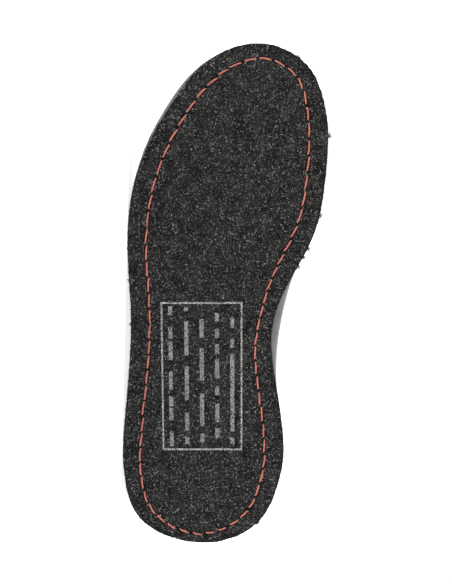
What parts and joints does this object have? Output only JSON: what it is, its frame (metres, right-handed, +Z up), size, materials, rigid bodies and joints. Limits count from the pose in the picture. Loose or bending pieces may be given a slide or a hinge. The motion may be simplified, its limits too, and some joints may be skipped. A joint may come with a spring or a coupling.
{
  "type": "wading boot",
  "caption": "Right wading boot with a sewn felt outsole, foam midsole, hollow laced upper, padded collar and tongue, lying on its outer side.",
  "frame": {"origin": "middle of the boot's bounding box, on the surface that it lies on", "axes": "+Z up, -X towards the toe, -Y the way the tread faces, so +Y points up the shaft"},
  "size_m": [0.3058, 0.1976, 0.121],
  "materials": {
    "felt": "coarse charcoal felt with pale flecks",
    "foam": "matte mid-grey foam",
    "footbed": "matte knit",
    "upper_nubuck": "matte synthetic nubuck",
    "rubber": "satin rubber",
    "facing": "matte synthetic",
    "padding": "matte spacer textile",
    "cord": "braided cord",
    "webbing": "woven webbing",
    "metal": "dark nickel"
  },
  "bodies": {
    "root": {"outsole_felt": "felt", "midsole": "foam", "insole": "footbed", "upper": "upper_nubuck", "toe_rand": "rubber", "heel_counter": "rubber", "eyestay_medial": "facing", "eyestay_lateral": "facing", "collar": "padding", "tongue": "padding", "lace": "cord", "pull_loop": "webbing", "eyelet_medial_1": "metal", "eyelet_medial_2": "metal", "eyelet_medial_3": "metal", "eyelet_medial_4": "metal", "eyelet_lateral_1": "metal", "eyelet_lateral_2": "metal", "eyelet_lateral_3": "metal", "eyelet_lateral_4": "metal", "hook_medial_1": "metal", "hook_medial_2": "metal", "hook_lateral_1": "metal", "hook_lateral_2": "metal"}
  },
  "joints": []
}
